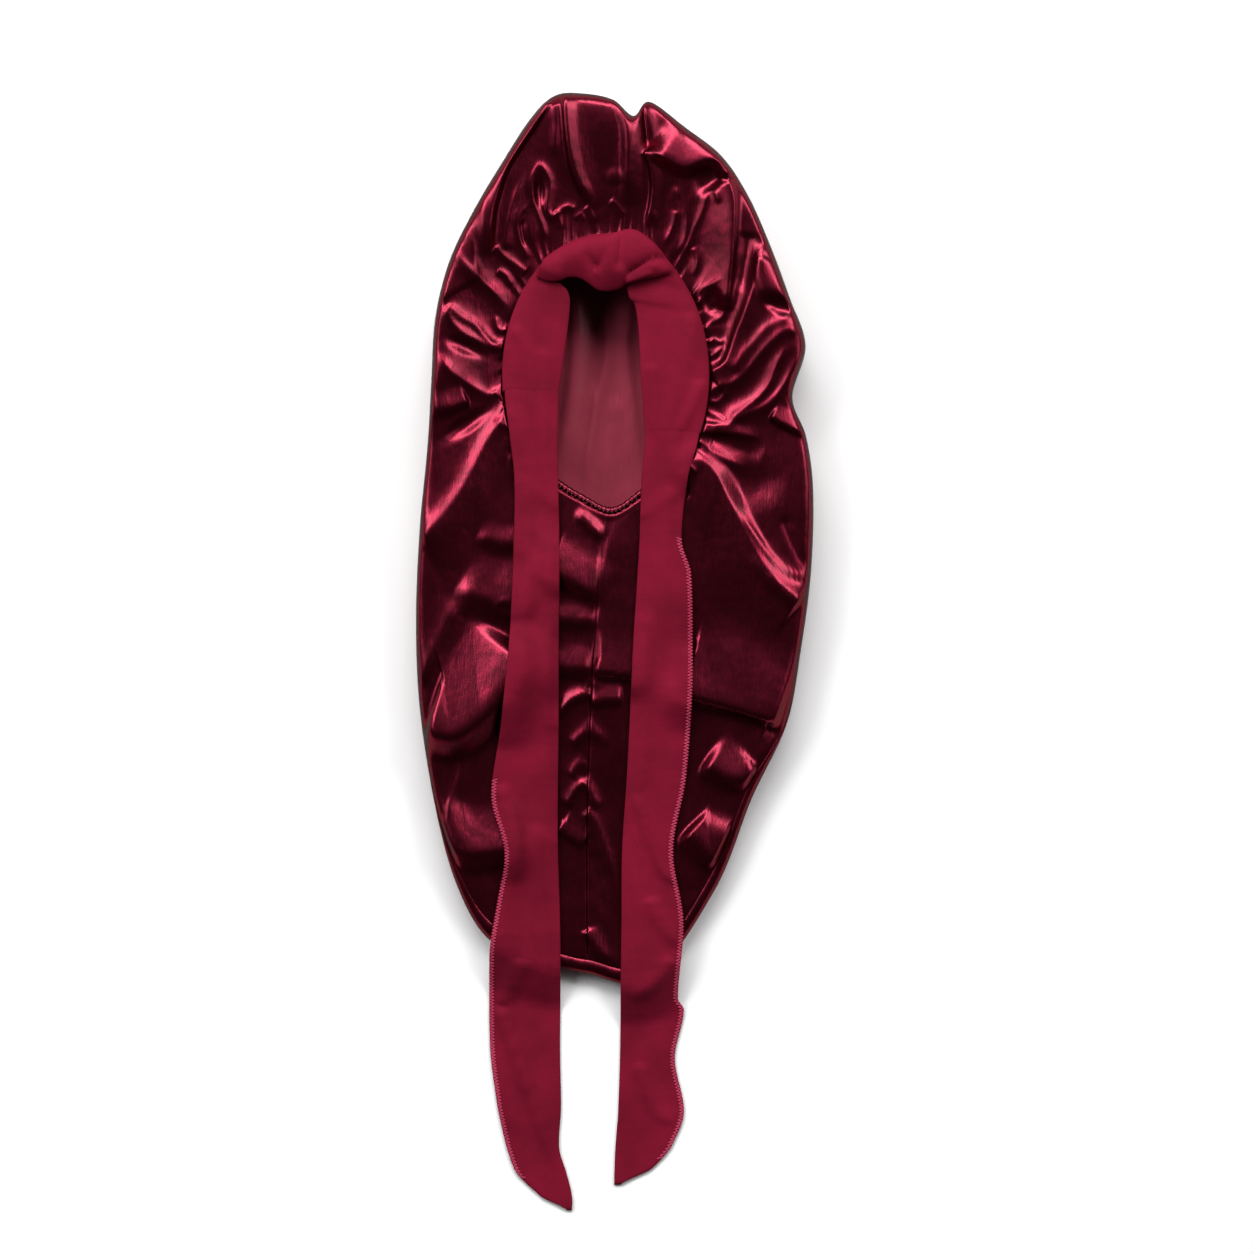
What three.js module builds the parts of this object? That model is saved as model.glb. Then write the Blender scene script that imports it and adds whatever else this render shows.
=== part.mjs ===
// An extra-long satin sleep bonnet with a jersey tie band, lying on its back with the face opening up.
// Units are millimetres, +Z is up, +Y runs towards the crown and +X to the right of someone looking down on it.
import * as THREE from "three";

// The satin bag, as it lies.
const BAG_LENGTH = 587;
const BAG_WIDTH = 263;
const EDGE_HEIGHT = 19; // of the bag's outermost edge above the surface, round the crown
const PUFF = 25; // how far the satin stands above the line from the opening to the edge
const SATIN_WALL = 1.2;
const SEAM_GAP = 0.4; // between pieces that are sewn together

// The face opening and the elastic casing in its edge.
const OPENING_WIDTH = 133;
const OPENING_LENGTH = 182;
const OPENING_RIGHT = -5; // of the opening's middle from the bag's
const CROWN_LENGTH = 95; // of the satin from the opening to the crown
const RIM_HEIGHT = 35; // of the satin's gathered edge above the surface
const CASING_DIAMETER = 5.2;

// The gathers that fan out from the opening.
const GATHERS = 18;
const GATHER_HEIGHT = 5.5;
const GATHER_START = 0.2; // where a fold is full, in radians of the bag's profile
const GATHER_LEFT_AT_EDGE = 0.25; // share of a fold's height that reaches the bag's edge

// The jersey band round the opening, a double layer.
const BAND_WIDTH = 38;
const BAND_THICKNESS = 2.4;
const BAND_INSET = 0.6; // of the band's sewn edge from the satin's
const BAND_ARCH = 12; // how far the loose front of the band stands up
const BAND_SAG = 9; // and how far its folded edge hangs into the opening

// The ties, each a double layer, which carry the band on.
const TIE_WIDTH = 40;
const TIE_THICKNESS = 2.2;
const TIE_CLEARANCE = 0.5; // above what the ties lie on
const LEFT_TIE_LENGTH = 540;
const RIGHT_TIE_LENGTH = 496;
const LEFT_TIE_START = -11; // of the joint to the band, up from the opening's middle
const RIGHT_TIE_START = -38;
const DRAPE_SLOPE = 0.65; // how steeply cloth comes down beside what holds it up
const DRAPE_REACH = 10; // how far it stays level round each high point

// How finely the faceted walls follow these shapes.
const COLUMNS = 108;
const FRONT_ROWS = 11;
const BACK_ROWS = 4;
const CASING_SIDES = 6;
const BAND_COLUMNS = 40;
const BAND_ROWS = 4;
const TIE_STEPS = 4; // for each row of its table
const TIE_ROWS = 4;

// The bag from the tail round the left, the crown and the right, a row for each fold line, evenly spaced round the opening.
// x and y: where it meets the edge, as shares of half the width from the middle and of the length from the tail.
// puff, edge and gather: shares of the sizes above. seam: the front panel's end, in degrees of the profile, 90 at the edge.
const FOLD_LINES = [
  { x: -0.13, y: 0.013, puff: 0.3, edge: 0.5, gather: 0.2, seam: 80 },
  { x: -0.29, y: 0.021, puff: 0.35, edge: 0.5, gather: 0.2, seam: 79 },
  { x: -0.45, y: 0.03, puff: 0.4, edge: 0.5, gather: 0.25, seam: 78 },
  { x: -0.65, y: 0.056, puff: 0.5, edge: 0.5, gather: 0.3, seam: 79 },
  { x: -0.79, y: 0.114, puff: 0.6, edge: 0.55, gather: 0.4, seam: 82 },
  { x: -0.89, y: 0.195, puff: 0.7, edge: 0.6, gather: 0.5, seam: 86 },
  { x: -0.97, y: 0.307, puff: 0.75, edge: 0.7, gather: 0.6, seam: 90 },
  { x: -0.99, y: 0.408, puff: 0.8, edge: 0.8, gather: 0.8, seam: 90 },
  { x: -0.97, y: 0.512, puff: 0.9, edge: 0.9, gather: 1.2, seam: 90 },
  { x: -0.93, y: 0.606, puff: 0.9, edge: 1, gather: 1.1, seam: 90 },
  { x: -0.91, y: 0.678, puff: 0.95, edge: 1, gather: 1.1, seam: 90 },
  { x: -0.89, y: 0.748, puff: 1, edge: 1, gather: 1, seam: 90 },
  { x: -0.82, y: 0.811, puff: 1, edge: 1, gather: 1, seam: 90 },
  { x: -0.7, y: 0.867, puff: 1, edge: 1, gather: 0.9, seam: 90 },
  { x: -0.56, y: 0.92, puff: 1, edge: 1, gather: 1, seam: 90 },
  { x: -0.41, y: 0.972, puff: 1, edge: 1, gather: 1, seam: 90 },
  { x: -0.29, y: 0.997, puff: 1, edge: 1, gather: 1.1, seam: 90 },
  { x: -0.14, y: 0.999, puff: 1.05, edge: 1, gather: 1.1, seam: 90 },
  { x: 0, y: 0.992, puff: 1.05, edge: 1, gather: 1.2, seam: 90 },
  { x: 0.1, y: 0.974, puff: 0.9, edge: 1, gather: 1.6, seam: 90 },
  { x: 0.18, y: 0.99, puff: 0.95, edge: 1, gather: 1.3, seam: 90 },
  { x: 0.36, y: 0.961, puff: 1, edge: 1, gather: 1, seam: 90 },
  { x: 0.54, y: 0.929, puff: 1.05, edge: 1, gather: 1, seam: 90 },
  { x: 0.67, y: 0.886, puff: 1.05, edge: 1, gather: 1, seam: 90 },
  { x: 0.78, y: 0.831, puff: 1.05, edge: 1, gather: 1, seam: 90 },
  { x: 0.88, y: 0.771, puff: 1.05, edge: 1, gather: 1, seam: 90 },
  { x: 0.96, y: 0.717, puff: 1, edge: 1, gather: 1.2, seam: 90 },
  { x: 0.895, y: 0.66, puff: 0.9, edge: 1, gather: 1.3, seam: 90 },
  { x: 0.965, y: 0.615, puff: 0.95, edge: 1, gather: 1.2, seam: 90 },
  { x: 1, y: 0.555, puff: 0.9, edge: 0.9, gather: 1.1, seam: 90 },
  { x: 0.99, y: 0.465, puff: 0.9, edge: 0.85, gather: 1.2, seam: 90 },
  { x: 0.94, y: 0.377, puff: 0.8, edge: 0.8, gather: 0.8, seam: 90 },
  { x: 0.87, y: 0.294, puff: 0.75, edge: 0.7, gather: 0.5, seam: 86 },
  { x: 0.695, y: 0.21, puff: 0.65, edge: 0.6, gather: 0.4, seam: 80 },
  { x: 0.51, y: 0.107, puff: 0.5, edge: 0.55, gather: 0.3, seam: 78 },
  { x: 0.18, y: 0.006, puff: 0.35, edge: 0.5, gather: 0.2, seam: 78 },
];
const CROWN_SEAM_ROW = 19; // the fold line under the crease at the crown, where the two front panels meet

// A tie from its joint to its tip. at: share of its length. shift and width: its middle and width, as shares of TIE_WIDTH.
const LEFT_TIE = [
  { at: 0.055, shift: 0.04, width: 0.78 },
  { at: 0.104, shift: 0.08, width: 0.72 },
  { at: 0.2, shift: 0.08, width: 0.76 },
  { at: 0.3, shift: 0.04, width: 0.81 },
  { at: 0.4, shift: -0.03, width: 0.94 },
  { at: 0.49, shift: -0.12, width: 1.09 },
  { at: 0.556, shift: -0.01, width: 0.87 },
  { at: 0.617, shift: -0.06, width: 1.02 },
  { at: 0.68, shift: -0.12, width: 1.17 },
  { at: 0.8, shift: -0.13, width: 1.16 },
  { at: 0.874, shift: -0.06, width: 1.05 },
  { at: 0.923, shift: 0, width: 0.87 },
  { at: 0.955, shift: 0.15, width: 0.82 },
  { at: 0.984, shift: 0.4, width: 0.5 },
  { at: 1, shift: 0.61, width: 0.07 },
];
const RIGHT_TIE = [
  { at: 0.055, shift: -0.12, width: 0.76 },
  { at: 0.14, shift: -0.19, width: 0.69 },
  { at: 0.18, shift: -0.13, width: 0.87 },
  { at: 0.27, shift: -0.15, width: 0.97 },
  { at: 0.35, shift: -0.18, width: 1 },
  { at: 0.457, shift: -0.26, width: 0.97 },
  { at: 0.55, shift: -0.4, width: 0.84 },
  { at: 0.644, shift: -0.32, width: 1.02 },
  { at: 0.75, shift: -0.37, width: 0.95 },
  { at: 0.766, shift: -0.32, width: 1.05 },
  { at: 0.83, shift: -0.4, width: 0.91 },
  { at: 0.903, shift: -0.34, width: 1.09 },
  { at: 0.95, shift: -0.47, width: 0.92 },
  { at: 0.979, shift: -0.64, width: 0.61 },
  { at: 1, shift: -0.9, width: 0.1 },
];

const TURN = 2 * Math.PI;
const OPENING_UP = BAG_LENGTH - CROWN_LENGTH - OPENING_LENGTH / 2; // of the opening's middle from the tail
const CROWN_SEAM = CROWN_SEAM_ROW / FOLD_LINES.length;
const SATIN = { color: 0x5e1124, roughness: 0.3, metalness: 0.1, side: THREE.DoubleSide };
const JERSEY = { color: 0x8e1a3a, roughness: 0.85, metalness: 0, side: THREE.DoubleSide };

const vector = (x, y, z) => new THREE.Vector3(x, y, z);
const mix = THREE.MathUtils.lerp;
const smoothstep = THREE.MathUtils.smoothstep;

// A curve through four evenly spaced values, between the middle two.
function through(a, b, c, d, share) {
  const slopeIn = (c - a) / 2;
  const slopeOut = (d - b) / 2;
  const square = share * share;
  const cube = square * share;
  return (
    (2 * cube - 3 * square + 1) * b +
    (cube - 2 * square + share) * slopeIn +
    (3 * square - 2 * cube) * c +
    (cube - square) * slopeOut
  );
}

// A column of the fold lines' table, at a share of the way round.
function foldLine(column, turn) {
  const count = FOLD_LINES.length;
  const place = (turn - Math.floor(turn)) * count;
  const row = Math.floor(place);
  const value = (step) => FOLD_LINES[(row + step + count) % count][column];
  return through(value(-1), value(0), value(1), value(2), place - row);
}

// A point on an oval round the face opening, taken in by a number of millimetres. It starts at the nape and goes clockwise.
function openingPoint(turn, inset, z) {
  const angle = turn * TURN;
  return vector(
    OPENING_RIGHT - (OPENING_WIDTH / 2 - inset) * Math.sin(angle),
    OPENING_UP - (OPENING_LENGTH / 2 - inset) * Math.cos(angle),
    z,
  );
}

// How high a gather stands, at a share of the way round and a place on the bag's profile.
function gather(turn, profile) {
  const wave = Math.cos(GATHERS * turn * TURN);
  const start = smoothstep(profile, 0, GATHER_START);
  const end = mix(1, GATHER_LEFT_AT_EDGE, smoothstep(profile, GATHER_START, Math.PI / 2));
  return GATHER_HEIGHT * foldLine("gather", turn) * wave * start * end;
}

// The bag's outer surface. The profile runs from 0 at the opening over the top to a quarter turn at the outermost edge, and
// on under the bag to a half turn, where it lies flat.
function bagPoint(turn, profile) {
  const inner = openingPoint(turn, 0, 0);
  const outer = vector((foldLine("x", turn) * BAG_WIDTH) / 2, foldLine("y", turn) * BAG_LENGTH, 0);
  const edge = EDGE_HEIGHT * foldLine("edge", turn);
  if (profile <= Math.PI / 2) {
    const point = inner.lerp(outer, Math.sin(profile));
    const line = edge + (RIM_HEIGHT - edge) * Math.cos(profile);
    const puff = PUFF * foldLine("puff", turn) * Math.sin(2 * profile);
    return point.setZ(line + puff + gather(turn, profile));
  }
  const under = profile - Math.PI / 2;
  const inwards = inner.sub(outer).normalize();
  const point = outer.addScaledVector(inwards, edge * (1 - Math.cos(under)));
  return point.setZ((edge + gather(turn, Math.PI / 2)) * (1 - Math.sin(under)));
}

// The two directions along the bag's surface at a point, and the way out of it.
function bagDirections(turn, profile) {
  const step = 1e-4;
  const round = bagPoint(turn + step, profile).sub(bagPoint(turn - step, profile)).normalize();
  const down = bagPoint(turn, profile + step).sub(bagPoint(turn, profile - step)).normalize();
  return { round, down, out: round.clone().cross(down).normalize() };
}

// One column of satin: its outer points from one place on the profile to another, and its inner points a wall behind them.
function satinColumn(turn, from, to, rows, startGap, endGap) {
  const outer = [];
  const inner = [];
  for (let row = 0; row <= rows; row += 1) {
    const profile = mix(from, to, row / rows);
    const directions = bagDirections(turn, profile);
    const point = bagPoint(turn, profile);
    if (row === 0) point.addScaledVector(directions.down, startGap);
    if (row === rows) point.addScaledVector(directions.down, -endGap);
    outer.push(point);
    inner.push(point.clone().addScaledVector(directions.out, -SATIN_WALL));
  }
  return { outer, inner };
}

// Collects the faces of one closed skin and makes a geometry of them that faces out.
class Skin {
  corners = [];

  triangle(a, b, c) {
    const flat = a.distanceTo(b) < 1e-3 || b.distanceTo(c) < 1e-3 || c.distanceTo(a) < 1e-3;
    if (!flat) this.corners.push(a, b, c);
  }

  quad(a, b, c, d) {
    this.triangle(a, b, c);
    this.triangle(a, c, d);
  }

  // The faces between neighbouring columns of points.
  between(columns, looped) {
    const last = looped ? columns.length : columns.length - 1;
    for (let i = 0; i < last; i += 1) {
      const here = columns[i];
      const next = columns[(i + 1) % columns.length];
      for (let j = 0; j + 1 < here.length; j += 1) this.quad(here[j], here[j + 1], next[j + 1], next[j]);
    }
  }

  geometry() {
    let volume = 0;
    for (let i = 0; i < this.corners.length; i += 3) {
      const [a, b, c] = this.corners.slice(i, i + 3);
      volume += a.dot(b.clone().cross(c));
    }
    const ordered = volume > 0 ? this.corners : this.corners.toReversed();
    return new THREE.BufferGeometry().setFromPoints(ordered);
  }
}

// A solid through sections that are each a loop of points: out along one side and back along the other.
function loft(sections, looped) {
  const skin = new Skin();
  skin.between(
    sections.map((section) => [...section, section[0]]),
    looped,
  );
  if (looped) return skin.geometry();
  const cap = (section, first) => {
    const last = section.length - 1;
    for (let i = 0; i < (section.length - 1) / 2; i += 1) {
      const corners = [section[i], section[i + 1], section[last - i - 1], section[last - i]];
      if (first) corners.reverse();
      skin.quad(...corners);
    }
  };
  cap(sections[0], true);
  cap(sections.at(-1), false);
  return skin.geometry();
}

function piece(name, geometry, finish) {
  geometry.computeVertexNormals();
  const mesh = new THREE.Mesh(geometry, new THREE.MeshStandardMaterial(finish));
  mesh.name = name;
  return mesh;
}

// A satin front panel, from the opening to the seam with the back, between two places on the way round. Its first and last
// columns stand half a gap back from the panel that they are sewn to.
function frontPanel(name, startTurn, endTurn) {
  const columns = Math.round((endTurn - startTurn) * COLUMNS);
  const sections = [];
  for (let column = 0; column <= columns; column += 1) {
    const turn = mix(startTurn, endTurn, column / columns);
    const seam = THREE.MathUtils.degToRad(foldLine("seam", turn));
    const { outer, inner } = satinColumn(turn, 0, seam, FRONT_ROWS, 0, SEAM_GAP / 2);
    const back = (column === 0) - (column === columns);
    const apart = vector(-Math.sign(Math.cos(turn * TURN)) * back * (SEAM_GAP / 2), 0, 0);
    sections.push([...outer, ...inner.reverse()].map((point) => point.add(apart)));
  }
  return piece(name, loft(sections, false), SATIN);
}

// The satin back panel: the side that lies on the surface, turned up all round to its seam with the front panels.
function backPanel() {
  const skin = new Skin();
  const columns = [];
  for (let column = 0; column < COLUMNS; column += 1) {
    const turn = column / COLUMNS;
    const seam = THREE.MathUtils.degToRad(foldLine("seam", turn));
    columns.push(satinColumn(turn, seam, Math.PI, BACK_ROWS, SEAM_GAP / 2, 0));
  }
  skin.between(
    columns.map(({ outer, inner }) => [...inner.toReversed(), ...outer]),
    true,
  );
  const under = columns.map(({ outer }) => outer.at(-1));
  const inside = columns.map(({ inner }) => inner.at(-1));
  const floor = THREE.ShapeUtils.triangulateShape(
    under.map((point) => new THREE.Vector2(point.x, point.y)),
    [],
  );
  for (const [a, b, c] of floor) {
    skin.triangle(under[a], under[b], under[c]);
    skin.triangle(inside[a], inside[c], inside[b]);
  }
  return piece("back_panel", skin.geometry(), SATIN);
}

// The narrow tube of satin that holds the elastic, all round the opening.
function openingCasing() {
  const radius = CASING_DIAMETER / 2;
  const sections = [];
  for (let column = 0; column < COLUMNS / 2; column += 1) {
    const turn = column / (COLUMNS / 2);
    const middle = RIM_HEIGHT - SATIN_WALL / 2;
    const section = [];
    for (let side = 0; side < CASING_SIDES; side += 1) {
      const angle = (side / CASING_SIDES) * TURN;
      const inset = radius + SEAM_GAP - radius * Math.cos(angle);
      section.push(openingPoint(turn, inset, middle + radius * Math.sin(angle)));
    }
    sections.push(section);
  }
  return piece("opening_casing", loft(sections, true), SATIN);
}

const bandLevel = RIM_HEIGHT - SATIN_WALL / 2 + CASING_DIAMETER / 2 + SEAM_GAP;

// Where an oval round the opening is at a height along the bag, as a share of the way round from the nape to the crown.
const turnAt = (up, inset) => Math.acos(-up / (OPENING_LENGTH / 2 - inset)) / TURN;

// The band's sewn edge and folded edge, from the left tie's joint over the crown to the right tie's.
const bandEnds = [BAND_INSET, BAND_INSET + BAND_WIDTH].map((inset) => ({
  inset,
  start: turnAt(LEFT_TIE_START, inset),
  end: 1 - turnAt(RIGHT_TIE_START, inset),
}));

function bandPoint(along, across, lift) {
  const [sewn, folded] = bandEnds.map(({ inset, start, end }) => openingPoint(mix(start, end, along), inset, 0));
  const crown = Math.sin(along * Math.PI) ** 4;
  const arch = BAND_ARCH * Math.sin(across * Math.PI) * crown;
  const sag = BAND_SAG * across ** 3 * crown;
  return sewn.lerp(folded, across).setZ(bandLevel + arch - sag + lift);
}

function faceBand() {
  const sections = [];
  for (let column = 0; column <= BAND_COLUMNS; column += 1) {
    const along = column / BAND_COLUMNS;
    const under = [];
    const over = [];
    for (let row = 0; row <= BAND_ROWS; row += 1) {
      under.push(bandPoint(along, row / BAND_ROWS, 0));
      over.unshift(bandPoint(along, row / BAND_ROWS, BAND_THICKNESS));
    }
    sections.push([...under, ...over]);
  }
  return piece("face_band", loft(sections, false), JERSEY);
}

const underneath = new THREE.Raycaster();

// The top of what lies at a place, found from above. Inside the opening the band's level stands in for it.
function supportAt(x, y, meshes) {
  underneath.set(vector(x, y, BAG_LENGTH), vector(0, 0, -1));
  const [hit] = underneath.intersectObjects(meshes);
  const right = (x - OPENING_RIGHT) / (OPENING_WIDTH / 2);
  const up = (y - OPENING_UP) / (OPENING_LENGTH / 2);
  const spanned = right * right + up * up < 1 ? bandLevel - TIE_CLEARANCE : 0;
  return Math.max(hit ? hit.point.z + TIE_CLEARANCE : 0, spanned);
}

// A tie laid from its joint down over the bag and on to the surface. Its first row meets the end of the band.
function tie(name, table, length, along, meshes) {
  const [sewn, folded] = [bandPoint(along, 0, 0), bandPoint(along, 1, 0)];
  const [left, right] = sewn.x < folded.x ? [sewn, folded] : [folded, sewn];
  const middle = (left.x + right.x) / 2;
  const start = sewn.y - SEAM_GAP;
  const edge = (side, first) =>
    new THREE.SplineCurve([
      new THREE.Vector2(first.x, start),
      ...table.map(({ at, shift, width }) => {
        const across = middle + TIE_WIDTH * (shift + (side * width) / 2);
        return new THREE.Vector2(across, start - at * length);
      }),
    ]);
  const edges = [edge(-1, left), edge(1, right)];
  const steps = table.length * TIE_STEPS;
  const place = (step, row) => {
    const [a, b] = edges.map((curve) => curve.getPoint(step / steps));
    return a.lerp(b, row / TIE_ROWS);
  };

  const supports = [];
  for (let step = 0; step <= steps * 2; step += 1) {
    for (let row = 0; row <= TIE_ROWS * 2; row += 1) {
      const { x, y } = place(step / 2, row / 2);
      supports.push(vector(x, y, supportAt(x, y, meshes)));
    }
  }
  const height = ({ x, y }) =>
    supports.reduce((highest, support) => {
      const apart = Math.hypot(x - support.x, y - support.y);
      return Math.max(highest, support.z - DRAPE_SLOPE * Math.max(0, apart - DRAPE_REACH));
    }, 0);

  const sections = [];
  for (let step = 0; step <= steps; step += 1) {
    const under = [];
    const over = [];
    for (let row = 0; row <= TIE_ROWS; row += 1) {
      const spot = place(step, row);
      const low = height(spot);
      under.push(vector(spot.x, spot.y, low));
      over.unshift(vector(spot.x, spot.y, low + TIE_THICKNESS));
    }
    sections.push([...under, ...over]);
  }
  return piece(name, loft(sections, false), JERSEY);
}

const bonnet = new THREE.Group();
const satin = [
  frontPanel("front_left_panel", 0, CROWN_SEAM),
  frontPanel("front_right_panel", CROWN_SEAM, 1),
  backPanel(),
  openingCasing(),
];
bonnet.add(
  ...satin,
  faceBand(),
  tie("left_tie", LEFT_TIE, LEFT_TIE_LENGTH, 0, satin),
  tie("right_tie", RIGHT_TIE, RIGHT_TIE_LENGTH, 1, satin),
);

// The origin is under the middle of the whole piece, on the surface that it lies on.
const extent = new THREE.Box3().setFromObject(bonnet);
bonnet.position.set(-(extent.min.x + extent.max.x) / 2, -(extent.min.y + extent.max.y) / 2, -extent.min.z);

export default bonnet;
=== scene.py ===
"""A long satin sleep bonnet with jersey ties, laid on its back with its face opening up, seen from straight above."""

import math

import bmesh
import bpy
import numpy as np
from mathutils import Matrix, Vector
from mathutils.bvhtree import BVHTree


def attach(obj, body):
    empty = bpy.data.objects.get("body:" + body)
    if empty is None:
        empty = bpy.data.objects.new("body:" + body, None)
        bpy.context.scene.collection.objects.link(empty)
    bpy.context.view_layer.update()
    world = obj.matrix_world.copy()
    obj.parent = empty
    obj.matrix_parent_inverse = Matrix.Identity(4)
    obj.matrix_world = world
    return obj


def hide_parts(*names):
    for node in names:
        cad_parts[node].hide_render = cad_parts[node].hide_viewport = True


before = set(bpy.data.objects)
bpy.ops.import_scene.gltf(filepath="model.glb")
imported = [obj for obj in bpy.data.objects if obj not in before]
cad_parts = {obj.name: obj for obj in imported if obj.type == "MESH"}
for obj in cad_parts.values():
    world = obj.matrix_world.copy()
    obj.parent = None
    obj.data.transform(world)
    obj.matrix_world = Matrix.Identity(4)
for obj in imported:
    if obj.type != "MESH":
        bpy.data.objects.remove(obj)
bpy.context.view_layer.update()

# The back panel: the satin side that lies on the surface. It is cut to the bag's outline, turned up all round
# to its seam with the front, and shows its wrong side through the face opening, in soft lengthwise folds.

MM = 0.001
BAG_LENGTH = 587 * MM
BAG_WIDTH = 263 * MM
TAIL_Y = -218.4 * MM  # of the bag's tail end
OPENING_WIDTH = 133 * MM
OPENING_LENGTH = 182 * MM
OPENING_X = -5 * MM
OPENING_Y = 182.6 * MM
NAPE_X = -1 * MM  # the lowest point of the opening, which is drawn down to the centre seam
NAPE_RISE = 7 * MM
NAPE_SPREAD = 14 * MM
RIM_HEIGHT = 35 * MM
SATIN_THICKNESS = 0.5 * MM
BACK_MIDDLE = (-10 * MM, -40 * MM)  # where the back panel's columns meet, out of sight
PLATEAU = 36.0  # how squarely the front's satin turns down at its edge
BACK_COLUMNS = 420
BACK_ROWS = 90

# Round the opening from the nape, over the left, the crown and the right, a row each 10 degrees.
# x and y: where the edge is, as shares of half the bag's width and of its length. edge: the edge's height, and
# top: the satin's height behind it, in millimetres. crest: where it is that high, as a share of the way out, and sink: how far it sinks from there. seam: degrees of the profile.
BAG_ROWS = [
    dict(x=-0.13, y=0.013, edge=9, top=15, crest=0.95, sink=0.3, seam=76),
    dict(x=-0.29, y=0.021, edge=9, top=15, crest=0.95, sink=0.3, seam=76),
    dict(x=-0.45, y=0.03, edge=9, top=16, crest=0.95, sink=0.3, seam=75),
    dict(x=-0.65, y=0.056, edge=9, top=18, crest=0.95, sink=0.3, seam=74),
    dict(x=-0.79, y=0.114, edge=11, top=21, crest=0.95, sink=0.3, seam=76),
    dict(x=-0.89, y=0.195, edge=12, top=25, crest=0.95, sink=0.3, seam=82),
    dict(x=-0.97, y=0.307, edge=14, top=31, crest=0.95, sink=0.3, seam=90),
    dict(x=-0.99, y=0.408, edge=15, top=36, crest=0.95, sink=0.5, seam=92),
    dict(x=-0.97, y=0.512, edge=18, top=39, crest=0.95, sink=0.5, seam=94),
    dict(x=-0.93, y=0.606, edge=19, top=40, crest=0.95, sink=0.5, seam=94),
    dict(x=-0.91, y=0.678, edge=20, top=47, crest=0.91, sink=1.8, seam=94),
    dict(x=-0.89, y=0.748, edge=22, top=47, crest=0.91, sink=1.8, seam=94),
    dict(x=-0.82, y=0.811, edge=23, top=47, crest=0.91, sink=1.8, seam=94),
    dict(x=-0.7, y=0.867, edge=24, top=47, crest=0.91, sink=1.8, seam=94),
    dict(x=-0.56, y=0.92, edge=24, top=47, crest=0.91, sink=1.8, seam=94),
    dict(x=-0.41, y=0.972, edge=24, top=47, crest=0.91, sink=1.8, seam=94),
    dict(x=-0.29, y=0.997, edge=24, top=47, crest=0.91, sink=1.8, seam=94),
    dict(x=-0.14, y=0.999, edge=24, top=47, crest=0.91, sink=1.8, seam=94),
    dict(x=0, y=0.992, edge=24, top=47, crest=0.91, sink=1.8, seam=94),
    dict(x=0.1, y=0.974, edge=24, top=47, crest=0.92, sink=1.6, seam=94),
    dict(x=0.18, y=0.99, edge=24, top=47, crest=0.92, sink=1.6, seam=94),
    dict(x=0.36, y=0.961, edge=24, top=47, crest=0.92, sink=1.6, seam=94),
    dict(x=0.54, y=0.929, edge=24, top=47, crest=0.92, sink=1.6, seam=94),
    dict(x=0.67, y=0.886, edge=24, top=47, crest=0.92, sink=1.6, seam=94),
    dict(x=0.78, y=0.831, edge=24, top=47, crest=0.92, sink=1.6, seam=94),
    dict(x=0.88, y=0.771, edge=23, top=47, crest=0.92, sink=1.6, seam=94),
    dict(x=0.96, y=0.717, edge=22, top=47, crest=0.92, sink=1.6, seam=94),
    dict(x=0.895, y=0.66, edge=20, top=42, crest=0.95, sink=0.5, seam=94),
    dict(x=0.965, y=0.615, edge=20, top=40, crest=0.95, sink=0.5, seam=94),
    dict(x=1.0, y=0.555, edge=18, top=40, crest=0.95, sink=0.5, seam=94),
    dict(x=0.99, y=0.465, edge=16, top=37, crest=0.95, sink=0.5, seam=92),
    dict(x=0.94, y=0.377, edge=14, top=33, crest=0.95, sink=0.3, seam=90),
    dict(x=0.87, y=0.294, edge=12, top=28, crest=0.95, sink=0.3, seam=82),
    dict(x=0.695, y=0.21, edge=11, top=23, crest=0.95, sink=0.3, seam=74),
    dict(x=0.51, y=0.107, edge=9, top=18, crest=0.95, sink=0.3, seam=73),
    dict(x=0.18, y=0.006, edge=9, top=15, crest=0.95, sink=0.3, seam=75),
]

# Soft lengthwise folds of the back, seen through the opening: points in millimetres, widths on the left and
# the right of the line's direction, height, and crest, which is sharper towards 1.
BACK_FOLDS = [
    dict(line=[(-27, 245), (-25, 205), (-30, 160), (-36, 120)], left=8, right=5, height=4, crest=1.9),
    dict(line=[(-8, 240), (-4, 205), (-10, 170), (-20, 112)], left=9, right=3, height=2.5, crest=1.6),
    dict(line=[(12, 240), (8, 205), (12, 165), (16, 120)], left=5, right=9, height=3, crest=1.8),
    dict(line=[(-12, 175), (-14, 150), (-20, 112)], left=2, right=6, height=1.6, crest=1.3),
    dict(line=[(2, 170), (-2, 140), (0, 112)], left=7, right=7, height=1.5, crest=2),
]


def smooth(share):
    """Eases a share from 0 to 1, and stays there."""
    share = np.clip(share, 0, 1)
    return share * share * (3 - 2 * share)


def through(a, b, c, d, share):
    """A curve through four evenly spaced values, between the middle two."""
    square, cube = share**2, share**3
    slopes = (cube - 2 * square + share) * (c - a) / 2 + (cube - square) * (d - b) / 2
    return (2 * cube - 3 * square + 1) * b + (3 * square - 2 * cube) * c + slopes


def ringed(rows, column, turn):
    """A column of a table that goes all round, at shares of the way round."""
    values = np.array([row[column] for row in rows], dtype=float)
    place = np.mod(turn, 1) * len(values)
    row = np.floor(place).astype(int)
    a, b, c, d = (values[(row + step) % len(values)] for step in (-1, 0, 1, 2))
    return through(a, b, c, d, place - row)


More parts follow.
